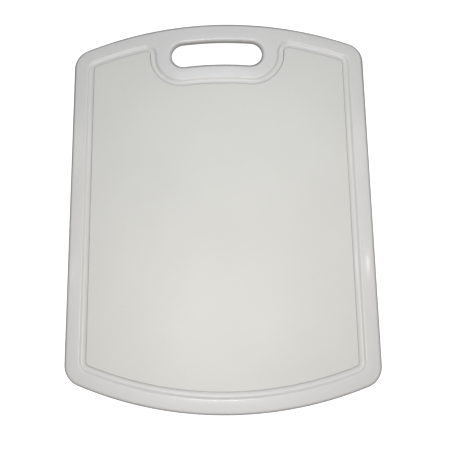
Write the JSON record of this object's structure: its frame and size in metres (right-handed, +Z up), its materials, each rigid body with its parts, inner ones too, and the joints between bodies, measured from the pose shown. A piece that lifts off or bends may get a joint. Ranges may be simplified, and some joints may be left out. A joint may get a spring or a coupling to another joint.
{
  "type": "cutting board",
  "caption": "Moulded plastic cutting board with bowed ends, an arched hand slot at one end, a juice groove that dips round the slot and a smooth rim.",
  "frame": {"origin": "middle of the flat underside", "axes": "+X across the board, +Y along it towards the hand slot, +Z up out of the grooved face"},
  "size_m": [0.282, 0.37, 0.008],
  "materials": {
    "panel": "white, fine grained, matt",
    "rim": "white, smooth, satin"
  },
  "bodies": {
    "root": {"cutting_panel": "panel", "grip_rim": "rim"}
  },
  "joints": []
}
